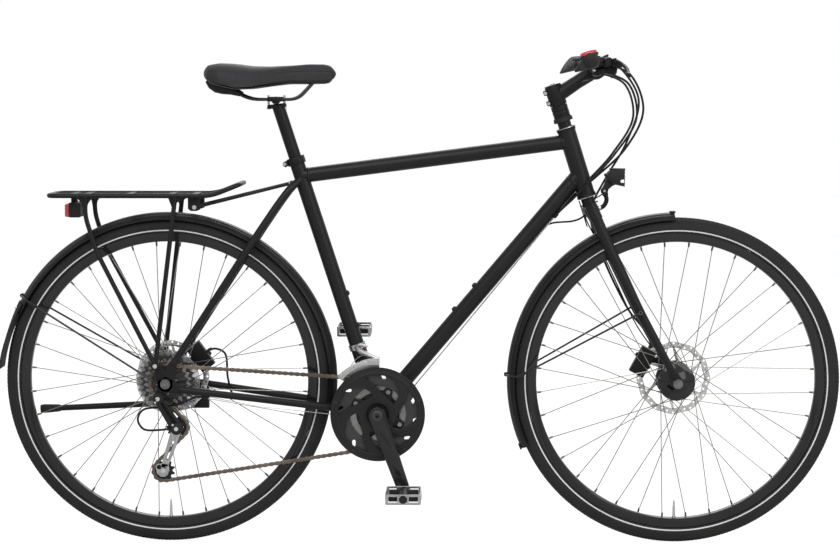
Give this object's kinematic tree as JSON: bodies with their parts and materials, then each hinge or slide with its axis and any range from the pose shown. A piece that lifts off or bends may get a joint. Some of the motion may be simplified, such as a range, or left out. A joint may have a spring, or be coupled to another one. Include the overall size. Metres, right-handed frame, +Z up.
{
  "type": "touring bicycle",
  "caption": "Diamond-frame touring bicycle with mudguards, carrier, disc brakes, triple crank, derailleur gears and dynamo lighting.",
  "frame": {"origin": "on the ground, under the middle of the bicycle's length", "axes": "+X forward, +Y to the bicycle's left, +Z up; the wheels' plane is y = 0"},
  "size_m": [1.801, 0.6, 1.0566],
  "materials": {
    "frame_paint": "satin black powder coat",
    "black_alloy": "matte black anodised",
    "black_plastic": "fine matte",
    "tyre_rubber": "matte rubber with tread blocks",
    "grip_rubber": "matte ribbed rubber",
    "saddle_cover": "dark grey soft cover",
    "steel_silver": "bright steel",
    "dark_steel": "dark steel",
    "chain_steel": "oiled steel",
    "cable_housing": "smooth black sheath",
    "lens_red": "red lens in a black case",
    "bell_red": "red lacquered dome"
  },
  "bodies": {
    "frame": {"frame": "frame_paint", "headset_upper_cup": "black_alloy", "headset_lower_cup": "black_alloy", "bottom_bracket": "dark_steel", "seat_clamp": "black_alloy", "rear_mudguard": "black_plastic", "rear_mudguard_stay": "steel_silver", "carrier": "black_alloy", "rear_light": "lens_red", "rear_brake_caliper": "black_alloy", "rear_axle": "steel_silver", "rear_derailleur": "black_plastic", "derailleur_cage": "steel_silver", "front_derailleur": "steel_silver", "chain": "chain_steel", "kickstand_bracket": "black_alloy", "rear_brake_hose": "cable_housing", "rear_shift_cable": "cable_housing", "front_shift_cable": "cable_housing"},
    "seatpost": {"seatpost": "black_alloy"},
    "saddle": {"saddle_base": "black_plastic", "saddle_cover": "saddle_cover"},
    "steering": {"fork": "frame_paint", "stem": "black_alloy", "handlebar": "black_alloy", "grip_right": "grip_rubber", "grip_left": "grip_rubber", "control_right": "black_alloy", "control_left": "black_alloy", "front_mudguard": "black_plastic", "front_mudguard_stay": "steel_silver", "front_brake_hose": "cable_housing", "bell": "bell_red", "headlight_bracket": "black_alloy", "front_brake_caliper": "black_alloy", "front_axle": "steel_silver"},
    "front_wheel": {"front_hub": "steel_silver", "front_rim": "black_alloy", "front_tyre": "tyre_rubber", "front_rotor": "steel_silver"},
    "rear_wheel": {"rear_hub": "steel_silver", "rear_rim": "black_alloy", "rear_tyre": "tyre_rubber", "rear_rotor": "steel_silver"},
    "cassette": {"cassette": "dark_steel"},
    "crank": {"right_crank": "black_alloy", "left_crank": "black_alloy", "chainrings": "dark_steel", "chain_guard": "black_plastic"},
    "pedal_right": {"pedal_right": "black_plastic"},
    "pedal_left": {"pedal_left": "black_plastic"},
    "guide_pulley": {"guide_pulley": "black_plastic"},
    "tension_pulley": {"tension_pulley": "black_plastic"},
    "kickstand": {"kickstand_leg": "black_alloy"},
    "brake_lever_right": {"brake_lever_right": "black_alloy"},
    "brake_lever_left": {"brake_lever_left": "black_alloy"},
    "thumb_lever_right": {"thumb_lever_right": "black_plastic"},
    "thumb_lever_left": {"thumb_lever_left": "black_plastic"},
    "headlight": {"headlight": "black_plastic"},
    "bell_lever": {"bell_lever": "black_plastic"}
  },
  "joints": [
    {"name": "steering_turn", "type": "hinge", "parent": "frame", "child": "steering", "pos_m": [0.4875, 0, 0.3315], "axis": [-0.3007, 0, 0.9537], "range_deg": [-60, 60], "deforming": ["rear_brake_hose", "rear_shift_cable", "front_shift_cable"]},
    {"name": "front_wheel_spin", "type": "hinge", "parent": "steering", "child": "front_wheel", "pos_m": [0.5495, 0, 0.351], "axis": [0, 1, 0], "continuous": true},
    {"name": "rear_wheel_spin", "type": "hinge", "parent": "frame", "child": "rear_wheel", "pos_m": [-0.5385, 0, 0.351], "axis": [0, 1, 0], "continuous": true},
    {"name": "crank_spin", "type": "hinge", "parent": "frame", "child": "crank", "pos_m": [-0.0885, 0, 0.285], "axis": [0, 1, 0], "continuous": true},
    {"name": "pedal_right_spin", "type": "hinge", "parent": "crank", "child": "pedal_right", "pos_m": [-0.03203, -0.074, 0.12465], "axis": [0, 1, 0], "continuous": true},
    {"name": "pedal_left_spin", "type": "hinge", "parent": "crank", "child": "pedal_left", "pos_m": [-0.14496, 0.074, 0.44535], "axis": [0, 1, 0], "continuous": true},
    {"name": "cassette_spin", "type": "hinge", "parent": "frame", "child": "cassette", "pos_m": [-0.5385, 0, 0.351], "axis": [0, 1, 0], "continuous": true},
    {"name": "guide_pulley_spin", "type": "hinge", "parent": "frame", "child": "guide_pulley", "pos_m": [-0.5165, -0.0451, 0.255], "axis": [0, 1, 0], "continuous": true},
    {"name": "tension_pulley_spin", "type": "hinge", "parent": "frame", "child": "tension_pulley", "pos_m": [-0.5475, -0.0451, 0.161], "axis": [0, 1, 0], "continuous": true},
    {"name": "kickstand_fold", "type": "hinge", "parent": "frame", "child": "kickstand", "pos_m": [-0.4805, 0.076, 0.292], "axis": [0, -0.9063, -0.4226], "range_deg": [0, 95]},
    {"name": "brake_lever_right_pull", "type": "hinge", "parent": "steering", "child": "brake_lever_right", "pos_m": [0.40213, -0.143, 1.0321], "axis": [-0.105, 0, -0.9945], "range_deg": [0, 15], "stiffness_Nm_per_rad": 1.5, "springref_deg": -5.73},
    {"name": "brake_lever_left_pull", "type": "hinge", "parent": "steering", "child": "brake_lever_left", "pos_m": [0.40213, 0.143, 1.0321], "axis": [0.105, 0, 0.9945], "range_deg": [0, 15], "stiffness_Nm_per_rad": 1.5, "springref_deg": -5.73},
    {"name": "thumb_lever_right_push", "type": "hinge", "parent": "steering", "child": "thumb_lever_right", "pos_m": [0.37409, -0.11, 1.00197], "axis": [0.3007, 0, -0.9537], "range_deg": [0, 25], "stiffness_Nm_per_rad": 0.5, "springref_deg": -5.73},
    {"name": "thumb_lever_left_push", "type": "hinge", "parent": "steering", "child": "thumb_lever_left", "pos_m": [0.37409, 0.11, 1.00197], "axis": [-0.3007, 0, 0.9537], "range_deg": [0, 25], "stiffness_Nm_per_rad": 0.5, "springref_deg": -5.73},
    {"name": "bell_lever_push", "type": "hinge", "parent": "steering", "child": "bell_lever", "pos_m": [0.33625, -0.062, 1.03744], "axis": [0, 1, 0], "range_deg": [0, 10], "stiffness_Nm_per_rad": 0.1, "springref_deg": -11.46},
    {"name": "headlight_tilt", "type": "hinge", "parent": "steering", "child": "headlight", "pos_m": [0.39378, 0, 0.75843], "axis": [0, 1, 0], "range_deg": [-10, 10]},
    {"name": "seatpost_height", "type": "slide", "parent": "frame", "child": "seatpost", "axis": [-0.309, 0, 0.9511], "range_m": [-0.09, 0.05]},
    {"name": "saddle_tilt", "type": "hinge", "parent": "seatpost", "child": "saddle", "pos_m": [-0.30543, 0, 0.95264], "axis": [0, 1, 0], "range_deg": [-8, 8]}
  ],
  "couplings": [
    {"joint": "cassette_spin", "follows": "crank_spin", "ratio": 2},
    {"joint": "guide_pulley_spin", "follows": "crank_spin", "ratio": -3.2727},
    {"joint": "tension_pulley_spin", "follows": "crank_spin", "ratio": 3.2727}
  ]
}
